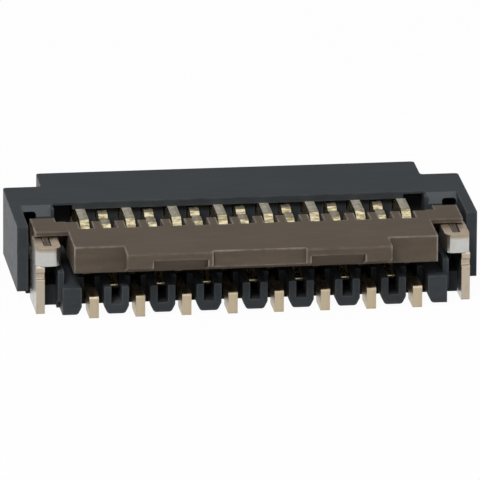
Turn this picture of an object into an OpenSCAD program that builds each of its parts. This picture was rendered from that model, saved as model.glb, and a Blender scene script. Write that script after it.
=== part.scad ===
// Flip-lock connector for a flat flexible cable, right angle, surface mounted.
// X runs along the row of contacts, the cable goes in from -Y and the board is at Z = 0.

/* [Overall] */
// Height of the closed connector above the board
conn_h = 1.0; // [0.97:0.01:1.25]
// Depth from the front solder tails to the rear face
lead_depth = 3.2; // [3.1:0.01:3.9]
// How far the closed lip of the actuator stands ahead of the front tails
lip_reach = 0.35; // [0.25:0.01:0.5]

/* [Contact row] */
// Number of contacts, odd, so that both end ones have front tails
positions = 15; // [5:2:21]
// Spacing between neighbouring contacts
pitch = 0.3; // [0.3:0.01:0.4]
// Distance from the end contacts to the outside of the housing
end_w = 0.9; // [0.88:0.01:1.1]
// Thickness of the contact strip
contact_t = 0.12; // [0.08:0.01:0.13]
// Gap between a contact and each wall of its slot
slot_gap = 0.01; // [0.005:0.005:0.02]
// Height of the front solder tails
tail_h = 0.3; // [0.2:0.01:0.34]
// Length of the solder feet
foot_l = 0.43; // [0.3:0.01:0.45]
// Thickness of the stiff arm along the slot's floor
base_t = 0.1; // [0.08:0.01:0.11]
// Thickness of the sprung arm
spring_t = 0.09; // [0.06:0.01:0.1]
// Height of the contact point above the cable floor
point_h = 0.06; // [0.03:0.01:0.08]
// Width of the upright between the arms
stem_w = 0.26; // [0.2:0.01:0.3]

/* [Housing] */
// Thickness of the outer side walls
wall_t = 0.143; // [0.12:0.001:0.18]
// Thickness of the roof above the contacts
roof_t = 0.095; // [0.08:0.005:0.12]
// Depth of the roof from the rear face
roof_d = 1.335; // [1.3:0.005:1.5]
// How far the side walls run on ahead of the roof
arm_d = 0.98; // [0.8:0.01:1.1]
// Depth of the narrower part at the rear
neck_d = 0.585; // [0.4:0.005:0.7]
// How far that part is set in at each side
neck_in = 0.5; // [0.4:0.01:0.55]
// Height of the underside above the board
board_gap = 0.035; // [0.02:0.005:0.05]
// Height of the side walls' lower edge above the board
skirt_gap = 0.12; // [0.08:0.01:0.16]
// Thickness of the floor under the contacts
skin_t = 0.065; // [0.05:0.005:0.08]
// Level of the floor that carries the cable
floor_h = 0.395; // [0.385:0.005:0.42]
// Level of the lower floor beside the cable
side_floor_h = 0.305; // [0.25:0.005:0.35]
// Depth of the sloping ledges at the ends of the roof
ledge_d = 0.11; // [0.08:0.01:0.12]
// Height of those slopes
ledge_h = 0.13; // [0.08:0.01:0.16]
// Radius of the moulded corners
corner_r = 0.05; // [0.02:0.01:0.08]

/* [Cable slot] */
// Height of the slot under the roof
slot_h = 0.225; // [0.2:0.005:0.24]
// Side play of the cable, at each edge
cable_play = 0.06; // [0.03:0.01:0.08]
// Depth of the slot behind the roof's front edge
stop_d = 0.28; // [0.2:0.01:0.32]
// Width of the guide walls at the edges of the cable
guide_w = 0.08; // [0.06:0.01:0.1]
// Height of those walls above the cable floor
guide_h = 0.18; // [0.1:0.01:0.19]

/* [Front blocks] */
// Width of the split blocks under the front edge
block_w = 0.324; // [0.28:0.004:0.36]
// How far the blocks stand ahead of the floor
block_d = 0.46; // [0.35:0.01:0.5]
// How far the blocks stand back from the front tails
block_back = 0.095; // [0.05:0.005:0.15]
// Width of the slit in each block
slit_w = 0.134; // [0.1:0.002:0.14]
// Height of the blocks' lower chamfers
block_cut_h = 0.1; // [0.05:0.005:0.14]
// Width of those chamfers
block_cut_w = 0.05; // [0.03:0.005:0.06]
// Level of the slit's floor
slit_h = 0.165; // [0.12:0.005:0.2]
// Width of the solid blocks at the corners
corner_block_w = 0.25; // [0.2:0.01:0.28]

/* [Actuator] */
// Thickness of the actuator plate
plate_t = 0.36; // [0.3:0.01:0.36]
// How far its top lies below the roof
plate_drop = 0.028; // [0.01:0.002:0.04]
// Gap between the plate's sides and the inside of the cable slot
plate_gap = 0.1; // [0.06:0.01:0.14]
// Radius of the shaft that it turns on
shaft_r = 0.1; // [0.08:0.005:0.105]
// Running gap around the shaft
shaft_gap = 0.02; // [0.015:0.005:0.025]
// Distance from the rear face to the shaft
shaft_back = 1.875; // [1.85:0.005:1.9]
// Height of the roof above the shaft
shaft_drop = 0.3; // [0.29:0.005:0.31]
// Width of the comb slots in which the contact arms lie
comb_w = 0.18; // [0.16:0.01:0.2]
// Reach of the comb slots ahead of the shaft
comb_d = 0.53; // [0.47:0.01:0.6]
// Reach of the comb's upper edge ahead of the shaft
comb_edge_d = 0.21; // [0.15:0.01:0.25]
// Thickness of the lip
lip_t = 0.21; // [0.17:0.01:0.24]
// Height of the lip's face left above a finger grip
grip_face_h = 0.09; // [0.07:0.01:0.12]
// Distance from the ends of the lip to the sides of the plate
lip_in = 0.64; // [0.5:0.01:0.8]
// Width of the middle of the lip, between the finger grips
lip_mid_w = 1.2; // [0.8:0.05:1.4]
// Width of each finger grip under the lip
grip_w = 0.7; // [0.4:0.05:0.8]
// Thickness of the end lugs over the hold-downs
lug_t = 0.07; // [0.05:0.01:0.08]

/* [Hold-downs] */
// Thickness of the sheet
sheet_t = 0.11; // [0.08:0.005:0.12]
// Gap between the hold-down and the side wall
sheet_gap = 0.037; // [0.025:0.001:0.05]
// Inside width of the folded channel
channel_w = 0.104; // [0.09:0.002:0.12]
// Height of the folded channel
channel_h = 0.245; // [0.2:0.005:0.26]
// How far the channel stands back from the front tails
channel_back = 0.265; // [0.2:0.005:0.35]
// Length of the channel
channel_l = 0.58; // [0.4:0.01:0.65]

/* [Hidden] */
front_n = (positions + 1) / 2;
rear_n = (positions - 1) / 2;

// Places along X, measured from the middle
row_w = (positions - 1) * pitch;
half_w = row_w / 2 + end_w;
wall_x = half_w - wall_t;
neck_x = half_w - neck_in;
slot_x = (row_w + 2 * pitch) / 2 + cable_play;
guide_x = slot_x + guide_w;
plate_x = slot_x - plate_gap;
sheet_x = wall_x - sheet_gap;
channel_x = sheet_x - 2 * sheet_t - channel_w;
lug_x = sheet_x - 0.03;
lug_in_x = slot_x + 0.01;
recess_x = slot_x - 0.03;
contact_slot_w = contact_t + 2 * slot_gap;

// Places along Y, with the whole depth centred on the origin
rear_y = (lead_depth + lip_reach) / 2;
lip_y = -rear_y;
lead_y = rear_y - lead_depth;
neck_y = rear_y - neck_d;
roof_y = rear_y - roof_d;
arm_y = roof_y - arm_d;
stop_y = roof_y + stop_d;
shaft_y = rear_y - shaft_back;
block_y = lead_y + block_back;
floor_y = block_y + block_d;
channel_y = lead_y + channel_back;
front_stem_y = stop_y + 0.04;
rear_stem_y = stop_y + 0.5;
end_roof_y = roof_y - 0.06;
ledge_y = end_roof_y - ledge_d;
tongue_end_y = end_roof_y + 0.52;

// Levels
roof_z = conn_h - roof_t;
arm_z = roof_z - 0.015;
shaft_z = conn_h - shaft_drop;
hook_r = shaft_r + shaft_gap;
arm_under_z = shaft_z + 0.04;
slot_z = floor_h + slot_h;
base_z = board_gap + skin_t;
spring_z = base_z + base_t + 0.035;
point_z = floor_h + point_h;
plate_z = conn_h - plate_drop;
plate_under_z = plate_z - plate_t;
lip_z = plate_z - 0.012;
lug_z = plate_z - lug_t;
channel_z = lug_z - 0.015;
guide_z = floor_h + guide_h;
press_z = shaft_z - hook_r - 0.04;
eps = 0.01;

// Corner p of a path, rounded to radius r between the points before and after it
function unit(v) = v / norm(v);
function corner_arc(a, p, b, r, n) =
    let(u = unit(a - p), w = unit(b - p), half = acos(u * w) / 2)
    let(c = p + unit(u + w) * r / sin(half), from = p + u * r / tan(half) - c)
    let(turn = 180 - 2 * half, side = sign(cross(from, p - c)))
    [for (k = [0:n]) let(t = side * turn * k / n)
        c + [from.x * cos(t) - from.y * sin(t), from.x * sin(t) + from.y * cos(t)]];
// Each point is [x, y] or [x, y, radius]
function xy(p) = [p.x, p.y];
function rounded(pts, n = 4) =
    let(m = len(pts))
    [for (i = [0:m - 1])
        let(p = pts[i], a = pts[(i + m - 1) % m], b = pts[(i + 1) % m])
        each (len(p) < 3 || p[2] == 0 ? [xy(p)] : corner_arc(xy(a), xy(p), xy(b), p[2], n))];

// Outlines drawn in the Y-Z, X-Y and X-Z planes, as solids
module along_x(x0, x1) {
    translate([x0, 0, 0])
        rotate([90, 0, 90])
            linear_extrude(x1 - x0) children();
}
module along_y(y0, y1) {
    translate([0, y1, 0])
        rotate([90, 0, 0])
            linear_extrude(y1 - y0) children();
}
module along_z(z0, z1) {
    translate([0, 0, z0])
        linear_extrude(z1 - z0) children();
}
module slab(x, y, z) {
    translate([x[0], y[0], z[0]])
        cube([x[1] - x[0], y[1] - y[0], z[1] - z[0]]);
}
module both_sides() {
    children();
    mirror([1, 0, 0]) children();
}
module shaft_bar(r, x0, x1) {
    translate([x0, shaft_y, shaft_z])
        rotate([0, 90, 0])
            cylinder(h = x1 - x0, r = r, $fn = 48);
}

// Places of the two kinds of contact along the row
function front_x(i) = -row_w / 2 + 2 * pitch * i;
function rear_x(i) = -row_w / 2 + pitch + 2 * pitch * i;

// The hook that lies over the shaft, from its front to its rear
function hook_arc(front_deg) = [
    for (a = [front_deg:-10:20])
        [shaft_y + hook_r * cos(a), shaft_z + hook_r * sin(a)]
];

module front_contact_outline() {
    spring_y = shaft_y - 0.12;
    tip_y = shaft_y - 0.32;
    polygon(rounded(concat(
        [
            [lead_y, 0, 0.04],
            [lead_y + foot_l, 0, 0.03],
            [lead_y + foot_l + 0.03, base_z, 0.02],
            [front_stem_y + stem_w, base_z, 0.03],
            [front_stem_y + stem_w, arm_z, 0.03],
            [roof_y - 0.02, arm_z, 0.05],
            [roof_y - 0.24, conn_h - 0.015, 0.08],
            [shaft_y - 0.16, conn_h - 0.015, 0.08],
            [tip_y, shaft_z + 0.2, 0.04],
            [tip_y, shaft_z + 0.12, 0.03],
            [tip_y + 0.09, shaft_z + 0.07, 0.02]
        ],
        hook_arc(150),
        [
            [front_stem_y, arm_under_z, 0.05],
            [front_stem_y, spring_z + spring_t, 0.05],
            [spring_y + 0.18, spring_z + spring_t, 0.1],
            [spring_y + 0.04, point_z, 0.04],
            [spring_y - 0.04, point_z, 0.04],
            [spring_y - 0.21, spring_z + 0.07, 0.02],
            [spring_y - 0.19, spring_z + 0.03, 0.02],
            [spring_y + 0.05, spring_z, 0.1],
            [front_stem_y - 0.12, spring_z, 0.015],
            [front_stem_y - 0.12, base_z + base_t, 0.015],
            [lead_y + foot_l + 0.06, base_z + base_t, 0.03],
            [lead_y + foot_l, tail_h, 0.03],
            [lead_y, tail_h, 0.04]
        ]
    )));
}

module rear_contact_outline() {
    spring_y = shaft_y - 0.62;
    tip_y = shaft_y - 0.11;
    foot_y = rear_y - foot_l;
    polygon(rounded(concat(
        [
            [rear_y, 0, 0.04],
            [rear_y, 0.24, 0.05],
            [rear_stem_y + stem_w + 0.06, 0.3, 0.04],
            [rear_stem_y + stem_w, 0.38, 0.03],
            [rear_stem_y + stem_w, arm_z, 0.03],
            [roof_y - 0.02, arm_z, 0.03],
            [roof_y - 0.12, roof_z + 0.01, 0.03],
            [roof_y - 0.23, roof_z, 0.03],
            [roof_y - 0.3, roof_z - 0.045, 0.03],
            [shaft_y + 0.12, roof_z - 0.02, 0.05],
            [shaft_y - 0.04, roof_z - 0.03, 0.04],
            [tip_y, roof_z - 0.08, 0.03],
            [tip_y, shaft_z + 0.075, 0.01]
        ],
        hook_arc(140),
        [
            [rear_stem_y, arm_under_z, 0.05],
            [rear_stem_y, spring_z + spring_t, 0.05],
            [spring_y + 0.18, spring_z + spring_t, 0.1],
            [spring_y + 0.04, point_z, 0.04],
            [spring_y - 0.04, point_z, 0.04],
            [spring_y - 0.32, spring_z + 0.1, 0.02],
            [spring_y - 0.3, spring_z + 0.05, 0.02],
            [spring_y + 0.05, spring_z, 0.1],
            [front_stem_y, spring_z, 0.04],
            [front_stem_y + 0.05, base_z, 0.02],
            [foot_y - 0.03, base_z, 0.02],
            [foot_y, 0, 0.03]
        ]
    )));
}

module front_contact(i) {
    color("#c9b478")
        along_x(front_x(i) - contact_t / 2, front_x(i) + contact_t / 2)
            front_contact_outline();
}

module rear_contact(i) {
    color("#c9b478")
        along_x(rear_x(i) - contact_t / 2, rear_x(i) + contact_t / 2)
            rear_contact_outline();
}

// Plate of the actuator from the comb's edge to its front face
module plate_outline() {
    rear = shaft_y - comb_edge_d;
    polygon(rounded([
        [lead_y, plate_under_z, 0.03],
        [shaft_y, plate_under_z],
        [shaft_y, shaft_z + shaft_r - 0.01],
        [rear + 0.06, shaft_z + shaft_r + 0.04, 0.03],
        [rear, plate_z, 0.02],
        [lead_y, plate_z, 0.01]
    ]));
}

// Nose with the lip: its underside slopes back to the foot of the plate
module lip_outline() {
    polygon(rounded([
        [lip_y, plate_z - lip_t, 0.02],
        [lip_y, lip_z, 0.03],
        [lead_y, plate_z],
        [lead_y + 0.05, plate_z],
        [lead_y + 0.05, plate_under_z],
        [lead_y + 0.03, plate_under_z]
    ]));
}

// Top plate and web at the left end, with the tongue that lies in the hold-down
module lug() {
    top_y = shaft_y - 0.6;
    tongue_y = channel_y + sheet_t + 0.05;
    tongue_x = channel_x + sheet_t + channel_w / 2;
    tongue_w = channel_w - 0.03;
    tongue_z = shaft_z + 0.02;
    difference() {
        along_x(-lug_x, -plate_x + eps)
            polygon(rounded([
                [top_y, lug_z, 0.01],
                [shaft_y - shaft_r, lug_z, 0.03],
                [shaft_y - shaft_r, shaft_z],
                [shaft_y + shaft_r / 2, shaft_z],
                [shaft_y + shaft_r / 2, lug_z, 0.02],
                [shaft_y, plate_z - 0.002, 0.03],
                [top_y, plate_z - 0.002, 0.02]
            ]));
        slab([-lug_in_x, 0], [shaft_y - 0.19, shaft_y + 0.5], [0, conn_h]);
    }
    along_z(tongue_z, lug_z - 0.03)
        polygon(rounded([
            [-tongue_x - tongue_w / 2, shaft_y - shaft_r + eps],
            [-tongue_x - tongue_w / 2, tongue_y, 0.035],
            [-tongue_x + tongue_w / 2, tongue_y, 0.035],
            [-tongue_x + tongue_w / 2, shaft_y - shaft_r + eps]
        ]));
    slab([-tongue_x - tongue_w / 2, -tongue_x + tongue_w / 2],
        [top_y + 0.02, shaft_y - shaft_r + eps], [tongue_z, lug_z + eps]);
}

module actuator() {
    color("#5d5349") {
        difference() {
            union() {
                along_x(-plate_x, plate_x) plate_outline();
                along_x(-plate_x + lip_in, plate_x - lip_in) lip_outline();
                both_sides() lug();
            }
            for (i = [0:positions - 1]) comb_slot(-row_w / 2 + pitch * i);
            both_sides() finger_grip();
            lip_recess();
        }
        shaft_bar(shaft_r, -lug_x, lug_x);
    }
}

module comb_slot(x) {
    slab([x - comb_w / 2, x + comb_w / 2],
        [shaft_y - comb_d, shaft_y + 2 * shaft_r],
        [plate_under_z - eps, plate_z + eps]);
}

// Scoop under the lip for a fingernail, at the left of the middle
module finger_grip() {
    x1 = -lip_mid_w / 2 - 0.07;
    along_x(x1 - grip_w, x1)
        polygon([
            [lip_y - eps, lip_z - grip_face_h],
            [lead_y + 0.02, plate_under_z - eps],
            [lip_y - eps, plate_under_z - eps]
        ]);
}

// The middle of the lip stands a little back
module lip_recess() {
    slab([-lip_mid_w / 2, lip_mid_w / 2], [lip_y - eps, lip_y + 0.05], [0, conn_h]);
}

// Side plate of a hold-down with its solder foot and its press-in tongue
module side_plate_outline() {
    wall_y = channel_y + channel_l;
    tongue_z = base_z + 0.05;
    notch_z = channel_z - channel_h - 0.08;
    polygon(rounded([
        [channel_y, 0, 0.03],
        [channel_y + 0.74, 0, 0.05],
        [channel_y + 0.8, tongue_z, 0.03],
        [tongue_end_y, tongue_z, 0.04],
        [tongue_end_y, press_z, 0.04],
        [wall_y + 0.06, press_z, 0.05],
        [wall_y, channel_z, 0.03],
        [channel_y + sheet_t, channel_z],
        [channel_y + sheet_t, channel_z - channel_h],
        [channel_y + 0.02, channel_z - channel_h],
        [channel_y, channel_z - channel_h - 0.02, 0.01],
        [channel_y, notch_z, 0.01],
        [channel_y + 0.035, notch_z - 0.015, 0.01],
        [channel_y + 0.035, notch_z - 0.085, 0.01],
        [channel_y, notch_z - 0.1, 0.01]
    ]));
}

// Plan of the channel, open to the rear
module channel_outline() {
    y1 = channel_y + channel_l;
    bend = sheet_t * 0.9;
    polygon(rounded([
        [-sheet_x, y1],
        [-sheet_x, channel_y, bend],
        [-channel_x, channel_y, bend],
        [-channel_x, y1, 0.03],
        [-channel_x - sheet_t, y1, 0.03],
        [-channel_x - sheet_t, channel_y + sheet_t, 0.02],
        [-sheet_x + sheet_t, channel_y + sheet_t, 0.02],
        [-sheet_x + sheet_t, y1]
    ]));
}

module hold_down() {
    color("#b4b4af") {
        along_x(-sheet_x, -sheet_x + sheet_t) side_plate_outline();
        along_z(channel_z - channel_h, channel_z) channel_outline();
    }
}

module left_hold_down() {
    hold_down();
}

module right_hold_down() {
    mirror([1, 0, 0]) hold_down();
}

// Plan of the roof and of everything under it
module roof_plan() {
    polygon(rounded([
        [-half_w, end_roof_y],
        [half_w, end_roof_y],
        [half_w, neck_y, corner_r],
        [neck_x, neck_y, corner_r],
        [neck_x, rear_y, corner_r],
        [-neck_x, rear_y, corner_r],
        [-neck_x, neck_y, corner_r],
        [-half_w, neck_y, corner_r]
    ]));
}

// A block under the front edge, with cut0 as the width of its chamfer at x0
module block_outline(x0, x1, cut0) {
    low = board_gap;
    polygon(rounded([
        if (cut0 > 0) [x0, low + block_cut_h, 0.06],
        [x0 + cut0, low, cut0 > 0 ? 0.05 : 0],
        [x1 - block_cut_w, low, 0.05],
        [x1, low + block_cut_h, 0.06],
        [x1, floor_h, 0.02],
        [x0, floor_h, 0.02]
    ]));
}

// Cradle under the shaft's end, with the ledge behind it, the side floor and the guide
module end_bed() {
    bed_y = shaft_y - 0.25;
    guide_y = floor_y - 0.3;
    along_x(-wall_x - eps, -slot_x)
        polygon(rounded([
            [bed_y, board_gap],
            [bed_y, shaft_z - shaft_r + 0.02, 0.03],
            [bed_y + 0.04, shaft_z - 0.04, 0.02],
            [shaft_y - hook_r + 0.02, shaft_z - 0.04],
            [shaft_y + 0.04, shaft_z - hook_r],
            [ledge_y, shaft_z - hook_r],
            [ledge_y, conn_h - ledge_h, 0.02],
            [end_roof_y, conn_h],
            [end_roof_y + eps, conn_h],
            [end_roof_y + eps, board_gap]
        ]));
    slab([-slot_x - eps, -recess_x], [ledge_y, end_roof_y + eps], [slot_z, conn_h - 0.03]);
    slab([-sheet_x + sheet_t + slot_gap, -slot_x], [floor_y, roof_y], [board_gap, side_floor_h]);
    along_x(-guide_x, -slot_x)
        polygon(rounded([
            [floor_y - 0.13, board_gap],
            [bed_y + eps, board_gap],
            [bed_y + eps, guide_z],
            [guide_y, guide_z, 0.03],
            [guide_y, board_gap + 0.13, 0.02],
            [floor_y - 0.13, board_gap + 0.08]
        ]));
}

module side_wall() {
    along_x(-half_w, -wall_x)
        polygon(rounded([
            [arm_y, skirt_gap, 0.02],
            [neck_y - corner_r, skirt_gap],
            [neck_y - corner_r, conn_h],
            [arm_y, conn_h, 0.02]
        ]));
}

module contact_slot(x, y0, y1, z0, z1) {
    slab([x - contact_slot_w / 2, x + contact_slot_w / 2], [y0, y1], [z0, z1]);
}

// Everything that is cut for a front contact: one slot, closed at the rear
module front_contact_cut(x) {
    contact_slot(x, floor_y - eps, front_stem_y + stem_w + slot_gap, base_z, roof_z);
}

// A rear contact is pushed in from behind, so its slot runs out of the rear face
module rear_contact_cut(x) {
    contact_slot(x, floor_y, rear_y + eps, base_z, roof_z);
    contact_slot(x, rear_y - foot_l - 0.05, rear_y + eps, 0, base_z + eps);
    slab([x - slit_w / 2, x + slit_w / 2], [block_y - eps, floor_y + eps], [slit_h, floor_h + eps]);
}

// Slot for the hold-down's side plate, wider and round-ended above its tongue
module hold_down_cut() {
    x0 = -sheet_x - slot_gap;
    slab([x0, x0 + sheet_t + 2 * slot_gap], [floor_y - eps, tongue_end_y + 0.02],
        [base_z, shaft_z]);
    along_y(ledge_y - eps, tongue_end_y + 0.02)
        polygon(rounded([
            [-wall_x + 0.005, press_z + 0.02],
            [-sheet_x + sheet_t + 0.05, press_z + 0.02],
            [-sheet_x + sheet_t + 0.05, conn_h - 0.07, 0.04],
            [-wall_x + 0.005, conn_h - 0.07, 0.04]
        ]));
}

// Hollow between the end contact and the end of the roof
module end_pocket() {
    along_x(-recess_x, -row_w / 2 - 0.07)
        polygon([
            [end_roof_y - eps, slot_z - eps],
            [stop_y, slot_z - eps],
            [stop_y, roof_z - 0.04],
            [roof_y - eps, conn_h - 0.03],
            [end_roof_y - eps, conn_h - 0.03]
        ]);
}

module housing() {
    color("#3c4043")
        difference() {
            union() {
                along_z(board_gap, conn_h) roof_plan_inner();
                along_z(skirt_gap, conn_h) roof_plan();
                slab([-neck_x, neck_x], [floor_y, roof_y + eps], [board_gap, floor_h]);
                for (i = [0:rear_n - 1])
                    along_y(block_y, floor_y + eps)
                        block_outline(rear_x(i) - block_w / 2, rear_x(i) + block_w / 2, block_cut_w);
                both_sides() {
                    along_y(block_y, floor_y + eps)
                        block_outline(-neck_x, -neck_x + corner_block_w, 0);
                    end_bed();
                    side_wall();
                }
            }
            // roof's front edge over the contacts, and the recess under it
            slab([-recess_x, recess_x], [lead_y, roof_y], [floor_h, conn_h + eps]);
            slab([-recess_x, recess_x], [lead_y, roof_y + 0.06], [floor_h, roof_z]);
            // cable slot
            slab([-slot_x, slot_x], [lead_y, stop_y], [floor_h, slot_z]);
            for (i = [0:front_n - 1]) front_contact_cut(front_x(i));
            for (i = [0:rear_n - 1]) rear_contact_cut(rear_x(i));
            both_sides() {
                end_pocket();
                hold_down_cut();
            }
            shaft_bar(hook_r, -wall_x, wall_x);
        }
}

// Plan of the part of the roof block that reaches down to the underside
module roof_plan_inner() {
    intersection() {
        roof_plan();
        translate([-wall_x, -rear_y])
            square([2 * wall_x, 2 * rear_y]);
    }
}

housing();
actuator();
left_hold_down();
right_hold_down();
for (i = [0:front_n - 1])
    front_contact(i);
for (i = [0:rear_n - 1])
    rear_contact(i);
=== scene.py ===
import math

import bpy
from mathutils import Matrix, Vector

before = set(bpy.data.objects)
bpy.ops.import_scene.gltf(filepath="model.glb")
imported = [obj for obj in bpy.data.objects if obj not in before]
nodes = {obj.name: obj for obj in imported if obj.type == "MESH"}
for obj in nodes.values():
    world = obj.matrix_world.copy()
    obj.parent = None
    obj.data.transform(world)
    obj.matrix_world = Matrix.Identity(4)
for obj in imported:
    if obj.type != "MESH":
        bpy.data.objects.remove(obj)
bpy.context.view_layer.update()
print("frame:", len(nodes), "nodes")


# shader maths: a Wire is one output socket, and arithmetic on it adds the nodes
class Wire:
    def __init__(self, tree, socket):
        self.tree = tree
        self.socket = socket

    def maths(self, operation, *values):
        made = self.tree.nodes.new("ShaderNodeMath")
        made.operation = operation
        for entry, value in zip(made.inputs, values):
            plug(self.tree, entry, value)
        return Wire(self.tree, made.outputs[0])

    def __add__(self, other):
        return self.maths("ADD", self, other)

    def __sub__(self, other):
        return self.maths("SUBTRACT", self, other)

    def __rsub__(self, other):
        return self.maths("SUBTRACT", other, self)

    def __mul__(self, other):
        return self.maths("MULTIPLY", self, other)

    def __gt__(self, other):
        return self.maths("GREATER_THAN", self, other)

    def __abs__(self):
        return self.maths("ABSOLUTE", self)

    __radd__ = __add__
    __rmul__ = __mul__

    def clamped(self):
        return self.maths("MINIMUM", self.maths("MAXIMUM", self, 0.0), 1.0)


def plug(tree, entry, value):
    if isinstance(value, Wire):
        tree.links.new(value.socket, entry)
    elif isinstance(value, (tuple, list)) and len(value) == 3 and entry.type == "RGBA":
        entry.default_value = (*value, 1.0)
    else:
        entry.default_value = value


# a Paint is one material, or the world; every node but the Math nodes comes from node()
class Paint:
    def __init__(self, name, kept="materials"):
        self.material = getattr(bpy.data, kept).new(name)
        self.material.use_nodes = True
        self.tree = self.material.node_tree
        self.tree.nodes.clear()

    def node(self, kind, settings=None, sockets=None, out=0):
        made = self.tree.nodes.new("ShaderNode" + kind)
        for name, value in (settings or {}).items():
            if name == "stops":
                while len(made.color_ramp.elements) < len(value):
                    made.color_ramp.elements.new(0.5)
                for stop, (place, colour) in zip(made.color_ramp.elements, value):
                    stop.position = place
                    stop.color = (*colour, 1.0)
            else:
                setattr(made, name, value)
        for name, value in (sockets or {}).items():
            plug(self.tree, made.inputs[name], value)
        return Wire(self.tree, made.outputs[out])

    def blend(self, low, high, factor):
        settings = {"data_type": "RGBA", "clamp_factor": True}
        return self.node("Mix", settings, {0: factor, 6: low, 7: high}, out=2)

    def vector(self, operation, a, b, out=0):
        return self.node("VectorMath", {"operation": operation}, {0: a, 1: b}, out=out)

    def stretched(self, scale):          # place on the part in millimetres, times a scale for each axis
        place = self.node("TexCoord", out="Object")
        return self.vector("MULTIPLY", place, [1000.0 * s for s in scale])

    def noise(self, scale, detail=3.0, rough=0.5):
        sockets = {"Vector": self.stretched(scale), "Scale": 1.0, "Detail": detail, "Roughness": rough}
        return self.node("TexNoise", {"noise_dimensions": "3D"}, sockets, out="Fac")

    def axes(self, source):
        split = self.tree.nodes.new("ShaderNodeSeparateXYZ")
        plug(self.tree, split.inputs[0], source)
        return [Wire(self.tree, socket) for socket in split.outputs]

    def rounded(self, radius):
        return self.node("Bevel", {"samples": 6}, {"Radius": radius})

    def edges(self, reach):              # 1 along outer edges, where little material lies behind the surface
        settings = {"inside": True, "only_local": True, "samples": 12}
        behind = self.node("AmbientOcclusion", settings, {"Distance": reach}, out="AO")
        return ((1.0 - behind) * 3.2 - 0.2).clamped()

    def recess(self, reach):             # 1 deep in slots and pockets
        settings = {"only_local": True, "samples": 12}
        above = self.node("AmbientOcclusion", settings, {"Distance": reach}, out="AO")
        return ((1.0 - above) * 1.8 - 0.8).clamped()

    def facing(self, axis):              # how far a surface faces along X, Y or Z
        return self.axes(self.node("NewGeometry", out="Normal"))["XYZ".index(axis)]

    def finish(self, look, **sockets):
        names = {"colour": "Base Color", "rough": "Roughness", "metal": "Metallic", "normal": "Normal"}
        shader = self.tree.nodes.new("ShaderNodeBsdfPrincipled")
        for name, value in {**look, **sockets}.items():
            plug(self.tree, shader.inputs[names.get(name, name)], value)
        last = self.tree.nodes.new("ShaderNodeOutputMaterial")
        self.tree.links.new(shader.outputs[0], last.inputs["Surface"])
        return self.material


def bumped(paint, height, normal, strength, distance):
    sockets = {"Height": height, "Normal": normal, "Strength": strength, "Distance": distance}
    return paint.node("Bump", None, sockets)


# moulded plastic: flow streaks and grain, outer edges lighter as partly wear and partly painted highlight,
# slopes lighter as painted highlight, and slots and pockets lighter as painted light
def mouldedPlastic(name, look):
    paint = Paint(name)
    rounded = paint.rounded(look["edgeRadius"])
    edge = paint.edges(look["edgeReach"])
    streak = paint.noise(look["streakScale"], 4.0, 0.6)
    grain = paint.noise([look["grainScale"]] * 3, 2.0)
    cloud = paint.noise([1.3, 1.3, 1.3], 2.0)
    tone = (streak * 0.5 + grain * 0.25 + cloud * 0.25 - 0.5) * look["contrast"] + 0.5
    colour = paint.blend(look["dark"], look["light"], tone.clamped())
    # painted highlight: faces sloping up at about 45 degrees are lightened as if catching the lamp above the
    # front
    slopeHighlight = (1.0 - abs(paint.facing("Z") - 0.68) * 7.0).clamped()
    colour = paint.blend(colour, look["edge"], slopeHighlight * look["slopeHighlightAmount"])
    # outer edges lightened in patches: partly wear, partly a painted edge highlight where the small rounds
    # would catch the light
    worn = (paint.noise([look["wearScale"]] * 3, 3.0, 0.6) * 3.0 - 0.9).clamped()
    colour = paint.blend(colour, look["edge"], edge * worn * look["edgeAmount"])
    # painted light: slots and pockets are lifted towards a lighter colour in place of fill light reaching
    # into them
    colour = paint.blend(colour, look["paintedRecessLight"], paint.recess(look["recessLightReach"]) * look["recessLightAmount"])
    polished = abs(paint.facing("X")) * look["sidePolish"]
    rough = look["rough"] + (streak - 0.5) * 0.2 + (grain - 0.5) * 0.15 - polished
    height = grain * 0.6 + streak * 0.4
    normal = bumped(paint, height, rounded, look["bump"], 0.000004)
    return paint.finish({"IOR": 1.5, "Specular IOR Level": look["gloss"]},
                        colour=colour, rough=rough, normal=normal)


housingLook = {
    "dark": (0.034, 0.0385, 0.0425), "light": (0.050, 0.056, 0.061), "edge": (0.115, 0.122, 0.130),
    "edgeAmount": 0.35, "edgeRadius": 0.000012, "edgeReach": 0.00003, "slopeHighlightAmount": 0.85,
    "paintedRecessLight": (0.13, 0.137, 0.145), "recessLightReach": 0.0003, "recessLightAmount": 0.9, "sidePolish": 0.45,
    "streakScale": [1.2, 9.0, 9.0], "grainScale": 18.0, "contrast": 2.4, "wearScale": 5.0,
    "rough": 0.85, "gloss": 0.07, "bump": 0.6,
}
actuatorLook = {
    "dark": (0.078, 0.060, 0.045), "light": (0.112, 0.089, 0.068), "edge": (0.30, 0.265, 0.235),
    "edgeAmount": 0.85, "edgeRadius": 0.000012, "edgeReach": 0.000032, "slopeHighlightAmount": 0.2,
    "paintedRecessLight": (0.09, 0.072, 0.058), "recessLightReach": 0.0003, "recessLightAmount": 0.4, "sidePolish": 0.1,
    "streakScale": [2.0, 12.0, 12.0], "grainScale": 16.0, "contrast": 2.4, "wearScale": 4.0,
    "rough": 0.72, "gloss": 0.06, "bump": 0.7,
}


# stamped strip under gold: burnished and broken bands on the cut edges, painted glints and painted shade on
# the arms, flat tops darkened as painted shade
contactLook = {
    "face": (0.52, 0.42, 0.25), "burnished": (0.52, 0.45, 0.29), "broken": (0.36, 0.30, 0.20),
    "tail": (0.47, 0.39, 0.275), "upper": (0.13, 0.107, 0.066),
    "shade": (0.27, 0.21, 0.09), "bright": (0.92, 0.84, 0.58), "armHeight": 0.78, "armShine": 0.75,
    "tailHeight": 0.31, "edgeRadius": 0.000006, "bump": 0.4,
}


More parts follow.
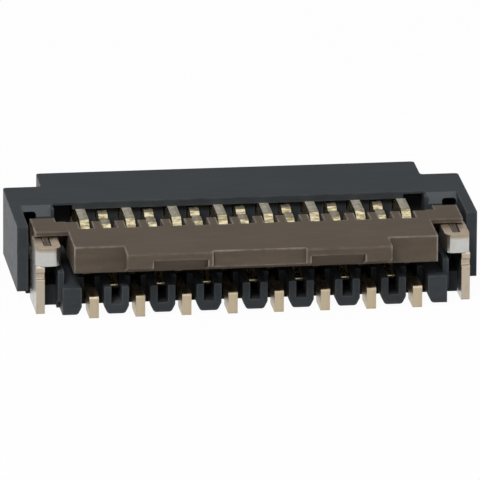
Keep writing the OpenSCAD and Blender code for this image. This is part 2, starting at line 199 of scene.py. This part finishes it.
def contactGold():
    paint = Paint("contactGold")
    rounded = paint.rounded(contactLook["edgeRadius"])
    across = paint.axes(paint.node("TexCoord", out="Generated"))[0]
    height = paint.axes(paint.stretched([1.0, 1.0, 1.0]))[2]
    cut = 1.0 - (abs(paint.facing("X")) > 0.5)
    wobble = paint.noise([4.0, 30.0, 30.0], 3.0)
    broken = ((across + (wobble - 0.5) * 0.35 - 0.6) * 12.0).clamped() * cut
    scratches = paint.noise([6.0, 70.0, 20.0], 2.0)
    mottle = paint.noise([16.0, 16.0, 16.0], 3.0, 0.6)
    colour = paint.blend(contactLook["face"], contactLook["burnished"], cut)
    colour = paint.blend(colour, contactLook["broken"], broken * (0.6 + mottle * 0.5))
    # painted highlights and painted shade: streaky bright glints and dark patches across the arms' cut edges
    glint = ((paint.noise([9.0, 26.0, 26.0], 3.0, 0.6) - 0.5) * 5.0 + 0.5).clamped()
    arm = (height > contactLook["armHeight"]) * cut
    shine = paint.blend(contactLook["shade"], contactLook["bright"], glint)
    colour = paint.blend(colour, shine, arm * contactLook["armShine"])
    tail = 1.0 - (height > contactLook["tailHeight"])
    colour = paint.blend(colour, contactLook["tail"], tail * (0.55 + mottle * 0.6))
    # painted shade: faces that look straight up are darkened as if in shade and reflecting dark surroundings
    upper = ((paint.facing("Z") - 0.9) * 12.0).clamped()
    colour = paint.blend(colour, contactLook["upper"], upper * (0.55 + mottle * 0.7))
    rough = 0.26 + broken * 0.16 + tail * 0.12 + (mottle - 0.5) * 0.25
    normal = bumped(paint, scratches * (0.5 + broken) + wobble * 0.5, rounded, contactLook["bump"], 0.000003)
    return paint.finish({"metal": 1.0}, colour=colour, rough=rough, normal=normal)


# rolled sheet with matt tin on its faces, a warmer cut edge low down and a duller rim on top
tinLook = {
    "face": (0.58, 0.58, 0.56), "dull": (0.46, 0.455, 0.43), "cut": (0.46, 0.395, 0.315),
    "rim": (0.30, 0.245, 0.18),
    "bare": (0.42, 0.32, 0.24), "cutBelow": 0.635, "rimFrom": 0.82, "edgeRadius": 0.000008,
}


def tinPlate():
    paint = Paint("tinPlate")
    rounded = paint.rounded(tinLook["edgeRadius"])
    height = paint.axes(paint.stretched([1.0, 1.0, 1.0]))[2]
    low = 1.0 - (abs(paint.facing("X")) > 0.5) - (height > tinLook["cutBelow"])
    top = ((height - tinLook["rimFrom"]) * 25.0).clamped()
    cut = (low.clamped() + top).clamped()
    crystal = paint.noise([14.0, 14.0, 14.0], 4.0, 0.65)
    stain = paint.noise([5.0, 5.0, 4.0], 3.0, 0.6)
    colour = paint.blend(tinLook["face"], tinLook["dull"], crystal)
    colour = paint.blend(colour, tinLook["cut"], cut)
    colour = paint.blend(colour, tinLook["rim"], top * (0.5 + crystal * 0.6))
    bare = ((stain - 0.52) * 7.0).clamped() * (0.25 + cut * 0.5)
    colour = paint.blend(colour, tinLook["bare"], bare)
    rough = 0.34 + (crystal - 0.5) * 0.3 + cut * 0.1 + bare * 0.15
    normal = bumped(paint, crystal, rounded, 0.5, 0.000004)
    return paint.finish({"metal": 1.0}, colour=colour, rough=rough, normal=normal)


def dress(name, material):
    node = nodes[name]
    node.data.materials.clear()
    node.data.materials.append(material)


gold = contactGold()
tin = tinPlate()
dress("housing", mouldedPlastic("housingPlastic", housingLook))
dress("actuator", mouldedPlastic("actuatorPlastic", actuatorLook))
for name in nodes:
    if "contact" in name:
        dress(name, gold)
    if "hold_down" in name:
        dress(name, tin)
print("materials:", len(bpy.data.materials))


# pale floor: white to the camera and in reflections, with a light shadow
def paleFloor(size, shown):
    bpy.ops.mesh.primitive_plane_add(size=size, location=(0.0, 0.0, 0.0))
    floor = bpy.context.object
    floor.name = "floor"
    paint = Paint("paleFloor")
    seen = seenDirectly(paint)
    plain = paint.node("BsdfDiffuse", None, {"Color": (0.82, 0.82, 0.82)})
    white = paint.node("Emission", None, {"Color": (1.0, 1.0, 1.0), "Strength": 1.0})
    both = paint.node("MixShader", None, {0: seen * shown, 1: plain, 2: white})
    last = paint.tree.nodes.new("ShaderNodeOutputMaterial")
    paint.tree.links.new(both.socket, last.inputs["Surface"])
    floor.data.materials.append(paint.material)


def seenDirectly(paint):
    rays = [paint.node("LightPath", out=name) for name in
            ("Is Camera Ray", "Is Glossy Ray", "Is Transmission Ray")]
    return (rays[0] + rays[1] + rays[2]).clamped()


def studioWorld(strength):
    paint = Paint("studio", "worlds")
    shown = seenDirectly(paint) * (1.0 - strength) + strength
    sky = paint.node("Background", None, {"Color": (1.0, 1.0, 1.0), "Strength": shown})
    last = paint.tree.nodes.new("ShaderNodeOutputWorld")
    paint.tree.links.new(sky.socket, last.inputs["Surface"])
    bpy.context.scene.world = paint.material


def softbox(name, place, aim, size, power):
    light = bpy.data.lights.new(name, "AREA")
    light.shape = "DISK"
    light.size = size
    light.energy = power
    lamp = bpy.data.objects.new(name, light)
    lamp.location = place
    lamp.rotation_euler = (Vector(aim) - Vector(place)).to_track_quat("-Z", "Y").to_euler()
    bpy.context.collection.objects.link(lamp)


studio = {
    "floorSize": 0.6, "floorShown": 0.96, "skyStrength": 0.4,
    "key": {"place": (-0.022, -0.042, 0.057), "size": 0.03, "power": 0.035},
    "fill": {"place": (0.06, -0.05, 0.03), "size": 0.05, "power": 0.007},
}
middle = (0.0, 0.0, 0.0005)
paleFloor(studio["floorSize"], studio["floorShown"])
studioWorld(studio["skyStrength"])
for name in ("key", "fill"):
    box = studio[name]
    softbox(name, box["place"], middle, box["size"], box["power"])
print("studio ready")


# long lens at the catalogue angle, a little to the left and from above
cameraLook = {
    "azimuth": -7.43, "elevation": 17.27, "roll": 0.3, "distance": 0.15, "lens": 864.2,
    "aim": (0.000012, 0.0003155, 0.0004532),
}


def placeCamera(look):
    a, e, r = (math.radians(look[key]) for key in ("azimuth", "elevation", "roll"))
    right = Vector((math.cos(a), math.sin(a), 0.0))
    up = Vector((-math.sin(a) * math.sin(e), math.cos(a) * math.sin(e), math.cos(e)))
    back = right.cross(up)
    across = right * math.cos(r) + up * math.sin(r)
    upward = up * math.cos(r) - right * math.sin(r)
    data = bpy.data.cameras.new("camera")
    data.lens = look["lens"]
    data.sensor_width = 36.0
    data.clip_start = 0.01
    data.clip_end = 5.0
    camera = bpy.data.objects.new("camera", data)
    turned = Matrix((across, upward, back)).transposed().to_4x4()
    camera.matrix_world = Matrix.Translation(Vector(look["aim"]) + back * look["distance"]) @ turned
    bpy.context.collection.objects.link(camera)
    bpy.context.scene.camera = camera


placeCamera(cameraLook)
bpy.context.scene.view_settings.view_transform = "Standard"
